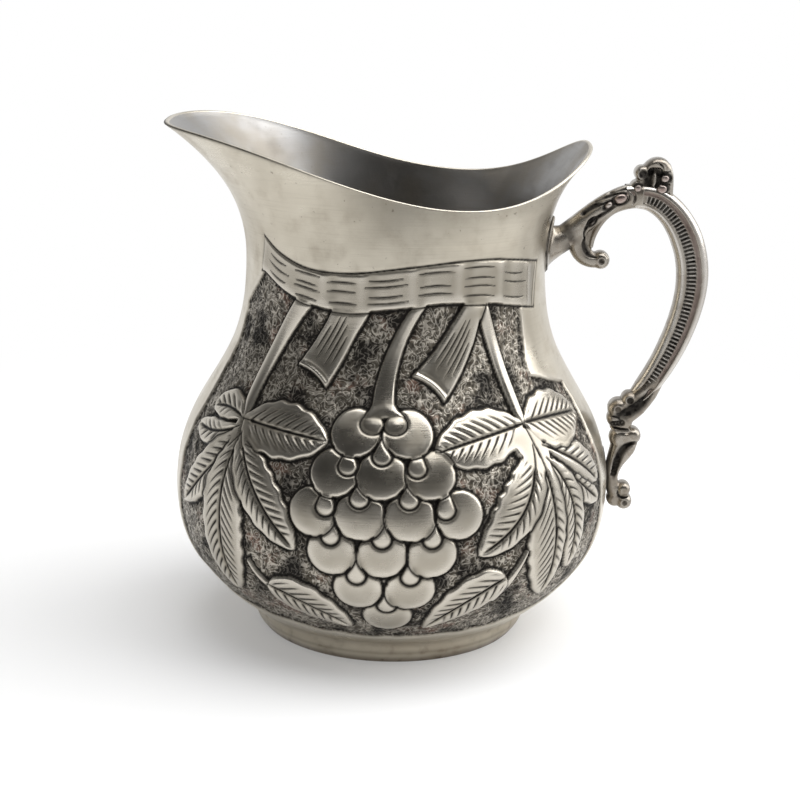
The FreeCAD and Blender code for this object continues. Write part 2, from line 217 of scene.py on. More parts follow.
def matted_ground(sheet):
    """Sinks the panel between the plain bands and breaks it up with the punch."""
    heights = np.interp(sheet.rows, side_length, side_line[:, 1])
    radius = np.radians(plain_radius(heights))[:, None]
    left = np.interp(heights, [8, 20, 40, 68, 82, 100, 111, 122],
                     [-58, -72, -75, -74, -75, -72, -57, -50])[:, None]
    right = np.interp(heights, [8, 20, 40, 74, 79, 84, 101, 118],
                      [56, 70, 73, 72, 71, 52, 54, 54])[:, None]
    floor = way_up(11.5 + 4.5 * (sheet.columns / 70) ** 2)[None, :]
    top = way_up(np.interp(sheet.columns, [-60, -40, -16, 17, 61], [112, 106, 104, 107, 103]))[None, :]
    inside = np.minimum(np.minimum((sheet.columns - left) * radius, (right - sheet.columns) * radius),
                        np.minimum(sheet.rows[:, None] - floor, top - sheet.rows[:, None]))
    across, up = sheet.columns[None, :] * radius, sheet.rows[:, None]
    inside = inside + 1.6 * (grain(across, up, 5.0, 3) - 0.5)
    sunk = ease(inside / 1.6 + 0.3)
    bend = 1.4 * grain(across, up, 2.2, 11)
    worms = 1 - abs(2 * grain(across + bend, up - bend, 1.15, 5) - 1)
    finer = 1 - abs(2 * grain(across - bend, up + bend, 0.85, 7) - 1)
    punched = np.maximum(ease((worms - 0.62) / 0.32), 0.8 * ease((finer - 0.62) / 0.32))
    sheet.height += sunk * (-0.86 + 0.3 * punched + 0.24 * (grain(across, up, 6.0, 9) - 0.5))
    sheet.matted = sunk
    sheet.panel = ease(inside / 5 + 0.4)
    patches = 0.6 * grain(across, up, 9.0, 13) + 0.4 * grain(across, up, 3.0, 17)
    sheet.dark = sunk * np.clip(0.34 + 2.6 * (patches - 0.5) - 0.3 * punched, 0, 0.92)


def tapered(reach, off, thick):
    """A chased stroke, pointed where its reach is 0 and 1."""
    width = thick * np.sqrt(np.sin(np.pi * reach)) + 1e-6
    return ridge(off, width) * (width > 0.03)


def ribbon(sheet):
    """The band tied round the neck: its ends are cut off short, folds cross it, strokes fill it."""
    top = way_up(np.interp(
        sheet.columns, [-59, -54.7, -47.2, -35.2, -26.4, -14.3, -0.7, 13.5, 24.6, 37.6, 54.6, 67],
        [124, 120, 116.8, 113.9, 113.4, 113.7, 115.3, 116.6, 117.3, 117.3, 115.4, 113.6]))
    low = way_up(np.interp(
        sheet.columns, [-58.5, -49.5, -39.7, -27.7, -16.2, -7.3, 5.1, 17.5, 38.1, 61.1, 68],
        [111.3, 108.3, 105.4, 103.6, 103.2, 103.9, 105.2, 106.1, 105.1, 101.8, 100.8]))
    top, low = blurred(top[:, None], 14)[:, 0], blurred(low[:, None], 14)[:, 0]
    patch = slice(*np.searchsorted(sheet.rows, way_up(np.array([98.0, 125.0])))), slice(None)
    up = sheet.rows[patch[0], None]
    share = (up - low) / (top - low)
    round_neck = sheet.columns[None, :] * math.radians(ribbon_radius)
    left_end = round_neck - np.radians(-58.5 + 3.8 * share) * ribbon_radius
    right_end = np.radians(63.0 + 2.5 * share) * ribbon_radius - round_neck
    inside = np.minimum(np.minimum(top - up, up - low), np.minimum(left_end, right_end))
    folds = [-54, -41, -26.5, -12, 6, 23, 41, 57]
    level = np.full(inside.shape, 0.2)
    for fold in folds[2:]:
        beside = round_neck - math.radians(fold) * ribbon_radius
        level = level + 0.2 * ridge(beside, 1.5) - 0.2 * ridge(beside - 3.2, 1.8)
    level = level + 0.1 * ridge(right_end - 0.5, 0.4) - 0.22 * ridge(right_end - 1.2, 0.3)
    faint_end = ease((np.minimum(top - up, up - low) - left_end - 0.2) / 0.6) * (left_end < 2)
    sheet.beat(patch, inside, level, 0.3, 0.7, 0.3, 1 - 0.9 * faint_end)
    strokes = np.zeros_like(inside)
    for number, (first, last) in enumerate(zip(folds, folds[1:])):
        for row in range(3 + number % 2):
            middle = (row + 0.9 + 0.15 * math.sin(5 * number + 3 * row)) / (3.7 + number % 2)
            start = first + (0.12 + 0.04 * math.sin(4 * row + number)) * (last - first)
            end = last - (0.1 + 0.05 * math.cos(3 * row + number)) * (last - first)
            reach = np.clip((sheet.columns - start) / (end - start), 0, 1)[None, :]
            bow = 0.3 * np.sin(np.pi * reach) * (1 if number % 3 else -1)
            bow = bow + 0.4 * (reach - 0.5) * math.sin(number + 1)
            strokes = np.maximum(strokes, tapered(reach, up - low - middle * (top - low) - bow, 0.26))
    sheet.score(patch, strokes * (inside > 0.5))
    sheet.panel[patch] = np.maximum(sheet.panel[patch], 0.95 * ease(inside / 3 + 0.5))


def ribbon_tail(sheet, places, half_widths):
    """A loose end that hangs below the band, flared, with a thick hem and lengthwise strokes."""
    patch, across, up, flat = sheet.near(places, 9)
    way, left, length = along(through(flat), across, up)
    half = np.interp(way / length, [0, 0.3, 1], half_widths)
    hem = length + 1.1 * (abs(left) / half) ** 2
    inside = np.minimum(half - abs(left), np.minimum(way + 3.5, hem - way))
    flared = left / half
    level = 0.18 + 0.22 * np.cos(np.clip(flared, -1, 1) * 1.5) + 0.2 * ridge(hem - way - 0.6, 0.5)
    level = level - 0.25 * ridge(hem - way - 1.7, 0.5)
    sheet.beat(patch, inside, level, 0.34)
    strokes = np.zeros_like(inside)
    for side, start, end in ((-0.6, 0.32, 0.74), (-0.3, 0.14, 0.82), (0.0, 0.1, 0.7),
                             (0.28, 0.2, 0.84), (0.58, 0.34, 0.76)):
        reach = np.clip((way / length - start) / (end - start), 0, 1)
        strokes = np.maximum(strokes, tapered(reach, (flared - side) * half, 0.27))
    sheet.score(patch, strokes)


def vine_stem(sheet, places, half_widths, level=0.28):
    """A half-round tube."""
    patch, across, up, flat = sheet.near(places, 5)
    way, left, length = along(through(flat), across, up)
    half = np.interp(way / length, np.linspace(0, 1, len(half_widths)), half_widths)
    inside = np.minimum(half - abs(left), np.minimum(way + 1.0, length + 1.0 - way))
    crown = np.sqrt(np.clip(1 - (left / half) ** 2, 0, 1))
    sheet.beat(patch, inside, level - 0.6 + 0.85 * crown, 0.32, 0.4)


def bunch_stalk(sheet, places, cups, radius):
    """The stalk the bunch hangs from, whose end spreads into two cups over the topmost grapes."""
    patch, across, up, flat = sheet.near(places + cups, 5)
    way, left, length = along(through(flat[:len(places)]), across, up)
    half = np.interp(way / length, [0, 0.3, 0.7, 0.88, 1], [1.7, 1.9, 2.6, 2.9, 5.0])
    inside = np.minimum(half - abs(left), np.minimum(way + 1.0, length - way))
    for x, y in flat[len(places):]:
        inside = np.maximum(inside, radius - np.hypot(across - x, up - y))
    sheet.beat(patch, inside, -0.26 + 0.62 * np.sqrt(np.clip(inside / 2.6, 0, 1)), 0.36, 0.4)


def vine_lobe(sheet, hub, bend, tip, left_width, right_width, fullest=0.45, pitch=2.9):
    """One finger of a leaf: two swelling halves along a sunk rib, each hatched with slanting veins."""
    patch, across, up, flat = sheet.near([hub, bend, tip], max(left_width, right_width) + 2.5)
    way, left, length = along(through(flat), across, up)
    share = np.clip(way / length, 0, 1)
    rising, falling = 1.3 * fullest, 1.3 * (1 - fullest)
    outline = share ** rising * (1 - share) ** falling / (fullest ** rising * (1 - fullest) ** falling)
    half = np.where(left > 0, left_width + 0.7, right_width + 0.7) * outline + 1e-3
    half = half * (1 + 0.035 * np.sin(way * 1.1 + 2 * np.sign(left)))
    inside = (half - abs(left)) * 0.92 - past_ends(way, length)
    out = np.clip(abs(left) / half, 0, 1)
    level = -0.06 + 0.5 * np.sin(np.pi * out ** 0.85)
    level = level - 0.36 * ridge(left, 0.34) * ease((length - way) / 6)
    level = level + 0.14 * ridge(inside - 0.7, 0.45)
    sheet.beat(patch, inside, level, 0.34)
    rib = ridge(left, 0.26) * ease(way / 3) * ease((length - way) / 5)
    slant = (way - 0.9 * abs(left) - 0.04 * left ** 2) / pitch + np.where(left > 0, 0.0, 0.45)
    stroke = 0.4 * np.sqrt(np.clip(1 - out / 0.82, 0, 1)) + 0.02
    veins = ridge((slant - np.round(slant)) * pitch * 0.74, stroke)
    veins = veins * ease((out - 0.08) / 0.1) * (1 - ease((out - 0.56) / 0.2)) * ease((share - 0.03) / 0.05)
    veins = veins * (1 - ease((share - 0.86) / 0.1)) * ease((half - 3.0) / 1.5)
    sheet.score(patch, np.maximum(rib, veins) * ease(inside / 0.6), 0.34)


def vine_leaf(sheet, hub, palm, radius, lobes):
    """A leaf's fingers from the lowest up, then the flat palm they grow from, crossed by their ribs."""
    for lobe in lobes:
        vine_lobe(sheet, *lobe)
    ribs = [place for lobe in lobes for place in lobe[:3]]
    patch, across, up, flat = sheet.near(palm + [hub, palm[1]] + ribs, 2)
    way, left, length = along(through(flat[:2]), across, up)
    inside = radius - np.hypot(left, past_ends(way, length))
    sheet.beat(patch, inside, 0.3, 0.3, 1.4, 0.3, sheet.matted[patch].copy())
    cuts = np.zeros_like(inside)
    for line in [flat[2:4]] + [flat[first:first + 3] for first in range(4, len(flat), 3)]:
        way, left, length = along(through(line), across, up)
        cuts = np.maximum(cuts, ridge(left, 0.26) * ease(way + 1) * ease(length - way + 1))
    sheet.score(patch, cuts * ease(inside + 0.8), 0.3)


def grape(sheet, place, radius=6.95):
    """A low domed disc that overlaps the grape below it."""
    patch, across, up, _ = sheet.near([place], radius + 3)
    far = np.hypot(across, up)
    dome = np.clip(1 - (far / radius) ** 2, 0, 1)
    sheet.beat(patch, radius - far, -0.2 + 0.5 * dome ** 0.6 - 0.03 * up, 0.42, 0.6, 0.3)


def drop(sheet, place, radius=2.5, tail=7.4):
    """The tongue that hangs between two grapes, over the top of the next."""
    patch, across, up, _ = sheet.near([place], tail + 3)
    narrow = np.interp(up, [0, tail], [radius, 0.25])
    far = np.hypot(across * radius / narrow, np.minimum(up, 0))
    inside = np.minimum(radius - far, tail - up)
    dome = np.clip(1 - (far / radius) ** 2, 0, 1)
    sheet.beat(patch, inside, 0.05 + 0.42 * dome ** 0.7, 0.45, 0.5, 0.42)


def vine(sheet):
    """Everything on one side, from what lies lowest to what lies on top."""
    matted_ground(sheet)
    vine_stem(sheet, [(-34.5, 105), (-44.7, 92), (-48.8, 79.3), (-47.4, 71.9)], [2.9, 2.5, 2.1, 1.4])
    vine_stem(sheet, [(33, 105.5), (38.6, 89), (40.8, 73.6)], [2.2, 2.0, 1.5], 0.36)
    ribbon_tail(sheet, [(-15.5, 104.5), (-21.5, 95), (-27.4, 86.6)], [5.2, 4.7, 5.4])
    ribbon_tail(sheet, [(29.3, 104), (22, 94), (12.2, 84.8)], [3.2, 4.3, 5.4])
    vine_stem(sheet, [(-37.6, 34), (-34.8, 30), (-30.6, 26.8)], [0.6, 0.9, 1.0], 0.1)
    vine_lobe(sheet, (-32.5, 28.2), (-21.5, 23.4), (-10.2, 16.6), 6.6, 5.2, 0.36)
    vine_stem(sheet, [(36.4, 39.4), (33.2, 33), (28.4, 25.6)], [0.6, 1.2, 1.5], 0.1)
    vine_lobe(sheet, (30.6, 32.6), (21, 26.2), (10, 16.2), 5.2, 6.6, 0.33)
    vine_leaf(sheet, (-47.6, 72), [(-47, 70.2), (-46.2, 66.8)], 3.9, [
        ((-48, 70), (-57, 66.6), (-68.8, 66), 3.6, 3.4, 0.6),
        ((-48.3, 72), (-56.5, 73.2), (-65, 71.6), 3.2, 4.8, 0.55),
        ((-46, 68.5), (-55, 56.6), (-67, 43.6), 4.8, 6.4, 0.5),
        ((-46.2, 68), (-47.8, 44), (-45.3, 22.6), 8.6, 8.0, 0.55),
        ((-46, 68.6), (-35.2, 53.6), (-23.6, 41.2), 6.8, 5.2, 0.5),
        ((-47.6, 72), (-31.8, 71.6), (-17.8, 70.6), 7.6, 7.4, 0.5)])
    vine_leaf(sheet, (41, 73.3), [(39.6, 68.6), (43.0, 64.6)], 5.4, [
        ((47.5, 64.5), (57, 54.6), (68, 46), 3.6, 3.6, 0.55),
        ((45.5, 67), (58, 60), (68, 51.5), 6.2, 2.6, 0.6),
        ((45.5, 63.5), (53.6, 47), (52.8, 29.6), 4.8, 4.8, 0.55),
        ((42.8, 66.5), (46, 45), (45.4, 22.9), 3.6, 10.2, 0.55),
        ((41.6, 67.5), (36.8, 53.6), (22.2, 40.7), 4.6, 8.6, 0.5),
        ((40.6, 73.2), (25.5, 71.4), (11.8, 68.6), 7.4, 7.4, 0.5),
        ((41.6, 73.5), (54, 73.2), (68.5, 71.6), 7.4, 8.8, 0.5)])
    # The bunch in rows from its tip up, as the upper grapes overlap the lower ones.
    bunch = [
        (21.2, [-0.2]), (31.0, [-7.7, 5.5]), (42.0, [-14.2, -1.6, 10.5]),
        (52.7, [-19.4, -7.4, 4.9, 17.3]), (63.5, [-14.6, -2.2, 10.4]), (73.5, [-10.3, 4.8]),
    ]
    for row, (height, places) in enumerate(bunch):
        for place in places:
            grape(sheet, (place, height))
        inner = places if row < 3 else places[1:-1]
        for place in inner:
            drop(sheet, (place - 0.2, height + 4.6))
        if row in (3, 4):
            drop(sheet, (places[0] + 3.4, height + 1.8))
            drop(sheet, (places[-1] - 3.6, height + 1.7))
    bunch_stalk(sheet, [(9.4, 106.0), (1.8, 95.8), (-1.7, 87.6), (-2.4, 77.0)],
                [(-5.6, 75.6), (1.0, 75.6)], 2.7)
    ribbon(sheet)


panel_edge = 76
side_columns = np.concatenate([np.arange(-90, -panel_edge, 0.7), np.arange(-panel_edge, panel_edge, 0.28),
                               np.linspace(panel_edge, 90, 21)])
side_rows = np.linspace(0.0, way_up(chased_top), 430)
sheet = ChasedSheet(side_columns, side_rows)
vine(sheet)
sheet.height = 0.45 * sheet.height + 0.55 * blurred(sheet.height, 1)
hollow = np.clip((blurred(sheet.height, 3) - sheet.height) / 0.16, 0, 1)
deep = np.clip((blurred(sheet.height, 9) - sheet.height) / 0.5, 0, 1)
worn = np.clip((sheet.height - blurred(sheet.height, 5)) / 0.2, 0, 1)
sheet.dark = np.clip(np.maximum(1.15 * sheet.dark, 0.8 * hollow) + 0.3 * deep, 0, 1)


def grid_quads(rows, columns, closed):
    """Corner numbers of a grid's faces, row after row."""
    row, column = np.mgrid[:rows - 1, :columns if closed else columns - 1]
    after = (column + 1) % columns
    return np.stack([row * columns + column, row * columns + after,
                     (row + 1) * columns + after, (row + 1) * columns + column], -1).reshape(-1, 4)


def metal_piece(name, points, quads, marks, slot, *nodes):
    """Makes a smooth mesh from points in mm, with named values per point, that stands for CAD nodes."""
    mesh = bpy.data.meshes.new(name)
    mesh.vertices.add(len(points))
    mesh.vertices.foreach_set("co", (np.asarray(points) * mm).astype(np.float32).ravel())
    mesh.loops.add(quads.size)
    mesh.loops.foreach_set("vertex_index", quads.astype(np.int32).ravel())
    mesh.polygons.add(len(quads))
    mesh.polygons.foreach_set("loop_start", np.arange(0, quads.size, quads.shape[1], dtype=np.int32))
    mesh.update(calc_edges=True)
    mesh.shade_smooth()
    for mark, values in marks.items():
        layer = mesh.attributes.new(mark, "FLOAT", "POINT")
        layer.data.foreach_set("value", np.ravel(values).astype(np.float32))
    made = bpy.data.objects.new(name, mesh)
    bpy.context.scene.collection.objects.link(made)
    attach(made, "root")
    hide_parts(*nodes)
    return made


def grid_piece(name, points, marks, slot, node, closed=True, ring=False, mirrored=False):
    """A piece of a grid of points, closed round its columns, or rows too as a ring, and laid out flat."""
    rows, columns = len(points) + ring, points.shape[1]
    quads = grid_quads(rows, columns, closed) % (points.size // 3)
    wide = columns if closed else columns - 1
    row, column = np.mgrid[:rows - 1, :wide]
    corners = [(column, row), (column + 1, row), (column + 1, row + 1), (column, row + 1)]
    flat = np.stack([np.stack([x / wide, y / (rows - 1)], -1) for x, y in corners], 2)
    if mirrored:
        quads, flat = quads[:, ::-1], flat[:, :, ::-1]
    made = metal_piece(name, points.reshape(-1, 3), quads, marks, slot, node)
    layer = made.data.uv_layers.new(name="OFBake")
    layer.data.foreach_set("uv", (0.01 + 0.98 * flat).astype(np.float32).ravel())
    return made


def round_axis(radius, azimuth, height):
    """Points at a distance from the jug's axis."""
    places = radius * np.cos(azimuth), radius * np.sin(azimuth), height
    return np.stack(np.broadcast_arrays(*places), -1)


side_heights = np.interp(side_rows, side_length, side_line[:, 1])[:, None]
side_azimuths = np.radians(side_columns - 90)[None, :]
lean = np.gradient(plain_radius(side_heights[:, 0]), side_heights[:, 0])[:, None]
out_by = plain_level(side_heights) + sheet.height
out_by = out_by + hammering(side_azimuths, side_heights) * (1 - sheet.matted)
out_by = out_by * ease(side_rows / 2.5)[:, None]
side_points = round_axis(skin(side_azimuths, side_heights) + out_by / np.hypot(1, lean), side_azimuths,
                         side_heights - out_by * lean / np.hypot(1, lean))
side_marks = {"dark": sheet.dark, "matted": sheet.matted, "worn": worn, "panel": sheet.panel}
chased_front = grid_piece("body_chased_front", side_points, side_marks,
                          "chased_plate", "body_shell", closed=False)
chased_back = grid_piece("body_chased_back", side_points * (1, -1, 1), side_marks,
                         "chased_plate", "body_shell", closed=False, mirrored=True)

# The mouth goes on from the chased sides: up the outside, over the rounded lip, down the inside.
mouth_azimuths = np.radians(np.linspace(0, 360, 480, endpoint=False))[None, :]
lip = 0.45
inner_floor = 7.0
rim_top = rim(mouth_azimuths)[1]


def inner_skin(azimuth, height):
    """The inner face's distance from the axis, behind the deepest of the relief."""
    slope = (skin(azimuth, height + 0.05) - skin(azimuth, height - 0.05)) / 0.1
    behind_relief = 1.3 * ease((height - 9) / 12) * (1 - ease((height - 96) / 20))
    return skin(azimuth, height) - wall * np.hypot(1, slope) - behind_relief


climb = np.linspace(0, 1, 40)[:, None]
outside = chased_top + (rim_top - lip - chased_top) * climb
outer_rows = skin(mouth_azimuths, outside) + hammering(mouth_azimuths, outside)
turn = np.linspace(0, math.pi, 9)[1:-1, None]
edge_in = inner_skin(mouth_azimuths, rim_top - lip)
edge_out = skin(mouth_azimuths, rim_top - lip)
lip_rows = (edge_out + edge_in) / 2 + (edge_out - edge_in) / 2 * np.cos(turn)
lip_heights = rim_top - lip + lip * np.sin(turn)
inside = inner_floor + (rim_top - lip - inner_floor) * (1 - np.linspace(0, 1, 110)[:, None])
inner_rows = inner_skin(mouth_azimuths, inside) + hammering(mouth_azimuths, inside)
mouth_height = np.vstack([outside, lip_heights, inside])
mouth_points = round_axis(np.vstack([outer_rows, lip_rows, inner_rows]), mouth_azimuths, mouth_height)
within = np.zeros(mouth_height.shape)
within[len(outer_rows) + len(lip_rows):] = 1
rows_past_side = np.arange(len(mouth_height))[:, None] - len(outer_rows)
on_lip = ridge(rows_past_side - 3, 3.0)
# Painted shade: a thin dark line on the outside just under the lip's top, along the spout.
painted_lip_shade = ridge(rows_past_side - 0.6, 1.7)
along_spout = ease((-5 - mouth_points[..., 0]) / 35)
# Painted reflection: a faint dark band below the rim towards the handle, added into the dark mark.
painted_rim_reflection = ridge(rim_top - mouth_height, 7) * ease((mouth_points[..., 0] + 25) / 40) * (1 - within)
painted_lip_shade = 0.95 * painted_lip_shade * along_spout + 0.3 * painted_rim_reflection * (1 - on_lip)
on_lip = on_lip * (1 - 0.9 * along_spout)
mouth_marks = {"dark": painted_lip_shade, "worn": on_lip, "inside": within}
body_mouth = grid_piece("body_mouth", mouth_points, mouth_marks, "chased_plate", "body_shell")


class Wire:
    """A socket among a finish's nodes: sums on it add Math nodes, and node() adds any other."""

    def __init__(self, tree, socket=None):
        self.tree, self.socket = tree, socket

    def node(self, kind, settings=None, sockets=None, out=0):
        made = self.tree.nodes.new("ShaderNode" + kind)
        for name, value in (settings or {}).items():
            setattr(made, name, value)
        for name, value in (sockets or {}).items():
            if isinstance(value, Wire):
                self.tree.links.new(value.socket, made.inputs[name])
            else:
                made.inputs[name].default_value = value
        return Wire(self.tree, made.outputs[out] if made.outputs else None)

    def sum(self, operation, *values):
        return self.node("Math", {"operation": operation}, dict(enumerate(values)))

    def __add__(self, other):
        return self.sum("ADD", self, other)

    def __sub__(self, other):
        return self.sum("SUBTRACT", self, other)

    def __rsub__(self, other):
        return self.sum("SUBTRACT", other, self)

    def __mul__(self, other):
        return self.sum("MULTIPLY", self, other)

    __radd__, __rmul__ = __add__, __mul__

    def limited(self):
        return self.node("Clamp", {}, {"Value": self})

    def between(self, low, high):
        """0 below low, 1 above high, eased between."""
        return self.node("MapRange", {"interpolation_type": "SMOOTHSTEP"},
                         {"Value": self, "From Min": low, "From Max": high})

    def tint(self, first, second):
        """The first colour where this is 0, the second where it is 1."""
        pair = [shade if isinstance(shade, Wire) else (*shade, 1.0) for shade in (first, second)]
        return self.node("Mix", {"data_type": "RGBA"}, {0: self, 6: pair[0], 7: pair[1]}, 2)


def start_finish(name):
    finish = bpy.data.materials.new(name)
    finish.use_nodes = True
    finish.node_tree.nodes.clear()
    return finish, Wire(finish.node_tree)


def plated(finish, wires, shade, metallic, rough, relief, shine=0.5):
    """Ends a finish as metal of a shade, with a fine relief of (strength, depth in mm, height)."""
    strength, depth, height = relief
    bumps = wires.node("Bump", {}, {"Strength": strength, "Distance": depth * mm, "Height": height})
    shader = wires.node("BsdfPrincipled", {}, {
        "Base Color": shade, "Metallic": metallic, "Roughness": rough, "Normal": bumps,
        "Specular IOR Level": shine})
    wires.node("OutputMaterial", {}, {"Surface": shader})
    return finish


def mark(wires, name):
    """The named values that a piece carries on its points."""
    return wires.node("Attribute", {"attribute_name": name}, {}, 2)


def place(wires):
    """Where a point lies on its piece."""
    return wires.node("TexCoord", {}, {}, 3)


def clouds(wires, size, detail=3.0, rough=0.55):
    """Noise in clouds of about a size in mm."""
    return wires.node("TexNoise", {}, {
        "Vector": place(wires), "Scale": 1 / (size * mm), "Detail": detail, "Roughness": rough})


def chased_silver():
    finish, wires = start_finish("chased_silver")
    dark, matted, worn = (mark(wires, name) for name in ("dark", "matted", "worn"))
    warm = clouds(wires, 22.0).between(0.35, 0.7)
    stain = clouds(wires, 6.0, 4.0).between(0.45, 0.75)
    speck = clouds(wires, 0.7, 3.0, 0.65)
    panel, inside = mark(wires, "panel"), mark(wires, "inside")
    plate = warm.tint((0.60, 0.555, 0.465), (0.53, 0.485, 0.40))
    plate = (stain * 0.35).tint(plate, (0.40, 0.35, 0.275))
    plate = (panel * 0.85).tint(plate, warm.tint((0.345, 0.318, 0.27), (0.28, 0.253, 0.207)))
    plate = inside.tint(plate, warm.tint((0.31, 0.305, 0.30), (0.27, 0.248, 0.215)))
    pits = clouds(wires, 1.6, 2.0).between(0.7, 0.76)
    plate = (pits * (0.55 - 0.35 * panel - 0.3 * inside)).limited().tint(plate, (0.16, 0.135, 0.105))
    ground = clouds(wires, 9.0, 4.0).between(0.56, 0.7).tint((0.1, 0.087, 0.068), (0.19, 0.112, 0.084))
    curls = wires.node("TexNoise", {}, {
        "Vector": place(wires), "Scale": 1 / (2.9 * mm), "Detail": 0.6, "Distortion": 2.2}) - 0.5
    curls = 1 - curls.sum("ABSOLUTE", curls).between(0.03, 0.075)
    shade = (matted * 0.92).limited().tint(plate, ground)
    shade = (worn * (0.7 - 0.3 * matted)).limited().tint(shade, (0.62, 0.58, 0.51))
    shade = (matted * curls * 0.8).limited().tint(shade, (0.54, 0.5, 0.435))
    # The dark mark is patina on the chased sides, and painted shade and a painted reflection under the
    # mouth's lip.
    patina_and_shade = dark * (0.85 + 0.4 * speck) * (1 - 0.2 * matted * curls)
    shade = patina_and_shade.limited().tint(shade, (0.009, 0.0075, 0.006))
    streaks = wires.node("VectorMath", {"operation": "MULTIPLY"}, {0: place(wires), 1: (1.0, 1.0, 40.0)})
    brushed = wires.node("TexNoise", {}, {"Vector": streaks, "Scale": 1 / (14 * mm), "Detail": 4.0})
    shade = (brushed.between(0.5, 0.75) * (0.16 - 0.1 * panel)).limited().tint(shade, (0.32, 0.285, 0.235))
    rough = 0.22 + 0.1 * warm + 0.1 * stain + 0.14 * matted + 0.22 * dark
    rough = rough - 0.05 * panel + 0.1 * brushed + 0.16 * inside
    fine = wires.node("TexNoise", {}, {
        "Vector": place(wires), "Scale": 900.0, "Detail": 4.0, "Roughness": 0.7})
    relief = fine * 0.2 + 0.25 * stain + 1.4 * matted * curls + 0.3 * brushed
    return plated(finish, wires, shade, 1 - 0.85 * dark, rough, (0.35, 0.18, relief), 0.12)


chased = chased_silver()
for made in (chased_front, chased_back, body_mouth):
    made.data.materials.append(chased)

# Base: a flat disc of plated sheet let into the body's lower edge. It was spun, which leaves faint
# rings on both faces, and it is soldered in from below.
def plain_silver(name, light, dull, ring_scale):
    finish, wires = start_finish(name)
    warm = clouds(wires, 14.0).between(0.35, 0.7)
    stain = clouds(wires, 3.5, 4.0).between(0.5, 0.8)
    shade = warm.tint(light, dull)
    shade = (stain * 0.4).tint(shade, (0.24, 0.2, 0.15))
    shade = (mark(wires, "dark") * (0.75 + 0.5 * stain)).limited().tint(shade, (0.13, 0.098, 0.065))
    far = wires.node("VectorMath", {"operation": "LENGTH"}, {0: place(wires)}, 1) * ring_scale
    rings = far.sum("SINE", far)
    grit = clouds(wires, 0.5, 4.0, 0.7)
    return plated(finish, wires, shade, 1 - 0.25 * stain, 0.3 + 0.1 * warm + 0.15 * stain,
                  (0.2, 0.1, 0.4 * rings + grit + 1.5 * stain))


def dress(node, finish):
    """Gives a CAD node that stays in sight its finish."""
    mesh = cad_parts[node].data
    mesh.materials.clear()
    mesh.materials.append(finish)


dress("base_disc", plain_silver("spun_base", (0.36, 0.345, 0.32), (0.3, 0.277, 0.24), 3200.0))

# Foot: a low bowed band of plated sheet with a flange turned in at its top, under the base. A fine
# line runs round the middle of the band, which is dented by use, and a throat leads up to the belly.
foot_turns = np.radians(np.linspace(0, 360, 480, endpoint=False))[None, :]
band_top = 0.78
line_height = 3.4
bow = np.linspace(0, band_top, 20)
band = np.column_stack([39.3 + 2.3 * bow + 0.7 * 4 * bow * (1 - bow), 0.25 + 6.35 * bow])
band[:, 0] -= 0.1 * ridge(band[:, 1] - line_height, 0.35)
lower_edge = [(38.15, 0.12), (38.35, 0.0), (38.9, 0.0), (39.15, 0.06)]
throat = curve([(41.57, 5.2), (41.7, 6.2), (42.45, 7.0), (44.0, 8.25)], 12)[1:]
foot_flange = [(36.6, 6.6), (36.6, 5.45), (40.2, 5.4), (39.6, 3.4)]
foot_section = np.vstack([lower_edge, band, throat, foot_flange])
foot_height = foot_section[:, 1:]
in_band = np.zeros_like(foot_height)
in_band[len(lower_edge):][:len(band)] = np.sin(np.pi * bow / band_top)[:, None]
dents = 0.09 * np.sin(7 * foot_turns + 1) * np.sin(16 * foot_turns + 2.4) + 0.05 * np.sin(31 * foot_turns)
foot_points = round_axis(foot_section[:, :1] + dents * in_band, foot_turns, foot_height)
# Painted shade darkens the band towards its lower edge; the fine line round its middle is darker too.
painted_shade_and_line = ease((2.8 - foot_height) / 2.4) + 0.35 * ridge(foot_height - line_height, 0.5)
foot_marks = {"dark": np.broadcast_to(painted_shade_and_line, foot_points.shape[:2])}
foot_band = grid_piece("foot_band", foot_points, foot_marks, "plain_plate", "foot_ring", ring=True)
foot_silver = plain_silver("foot_silver", (0.52, 0.475, 0.39), (0.44, 0.39, 0.31), 300.0)
foot_band.data.materials.append(foot_silver)


# Solder: soft grey solder that holds the base in the foot and the collar and the bracket on the body.
# It was melted into each joint and wiped off, so only a thin, dull and lumpy seam is left.
def wiped_solder():
    finish, wires = start_finish("wiped_solder")
    lumps = clouds(wires, 1.2, 4.0, 0.6)
    grime = clouds(wires, 3.0, 3.0).between(0.4, 0.7)
    shade = grime.tint((0.3, 0.28, 0.25), (0.07, 0.06, 0.05))
    return plated(finish, wires, shade, 0.9 - 0.4 * grime, 0.42 + 0.2 * grime, (0.5, 0.2, lumps))


solder = wiped_solder()
for node in ("foot_solder", "collar_solder", "bracket_solder"):
    dress(node, solder)

# Collar: a trumpet-shaped socket of plated metal, cast in one with its flange, filed to the neck's
# curve and soldered on below the rim at the back. The handle's arm goes into its narrow end.
collar_tilt = math.radians(22)
collar_root = np.array([43.7, 0, 115.5])
collar_axis = np.array([math.cos(collar_tilt), 0, math.sin(collar_tilt)])
collar_up = np.array([-math.sin(collar_tilt), 0, math.cos(collar_tilt)])
collar_turns = np.radians(np.linspace(0, 360, 160, endpoint=False))[:, None]
collar_side = collar_up * np.cos(collar_turns) + np.array([0, 1, 0]) * np.sin(collar_turns)


def on_neck(radius):
    """How far along the collar's axis its circle of a radius meets the neck."""
    near, far = np.full(len(collar_turns), -9.0), np.full(len(collar_turns), 9.0)
    for _ in range(30):
        middle = (near + far) / 2
        x, y, height = (collar_root + collar_axis * middle[:, None] + collar_side * radius).T
        outside = np.hypot(x, y) > skin(np.arctan2(y, x), height)
        near, far = np.where(outside, near, middle), np.where(outside, middle, far)
    return near


